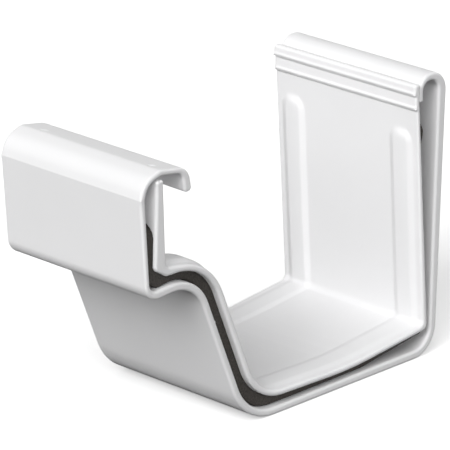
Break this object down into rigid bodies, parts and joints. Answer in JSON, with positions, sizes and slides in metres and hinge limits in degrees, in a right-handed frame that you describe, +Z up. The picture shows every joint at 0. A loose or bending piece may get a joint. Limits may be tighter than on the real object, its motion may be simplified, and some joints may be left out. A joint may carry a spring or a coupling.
{
  "type": "rain gutter union",
  "caption": "Short double-walled union for K-style rain gutter: hooked front, ogee ledge, flat floor and rolled back, with rubber seals between shell and liner.",
  "frame": {"origin": "middle of the underside: half way along the gutter, half way between the front face and the back face, at the height of the flat bottom", "axes": "+X along the gutter, -Y towards the street side with the hook, +Y towards the fascia board, +Z up"},
  "size_m": [0.0638, 0.14, 0.0984],
  "materials": {
    "shell_vinyl": "glossy white moulded vinyl",
    "liner_vinyl": "glossy white moulded vinyl",
    "gasket_right_rubber": "matt black foam rubber",
    "gasket_left_rubber": "matt black foam rubber"
  },
  "bodies": {
    "root": {"outer_shell": "shell_vinyl", "inner_liner": "liner_vinyl", "gasket_right": "gasket_right_rubber", "gasket_left": "gasket_left_rubber"}
  },
  "joints": []
}
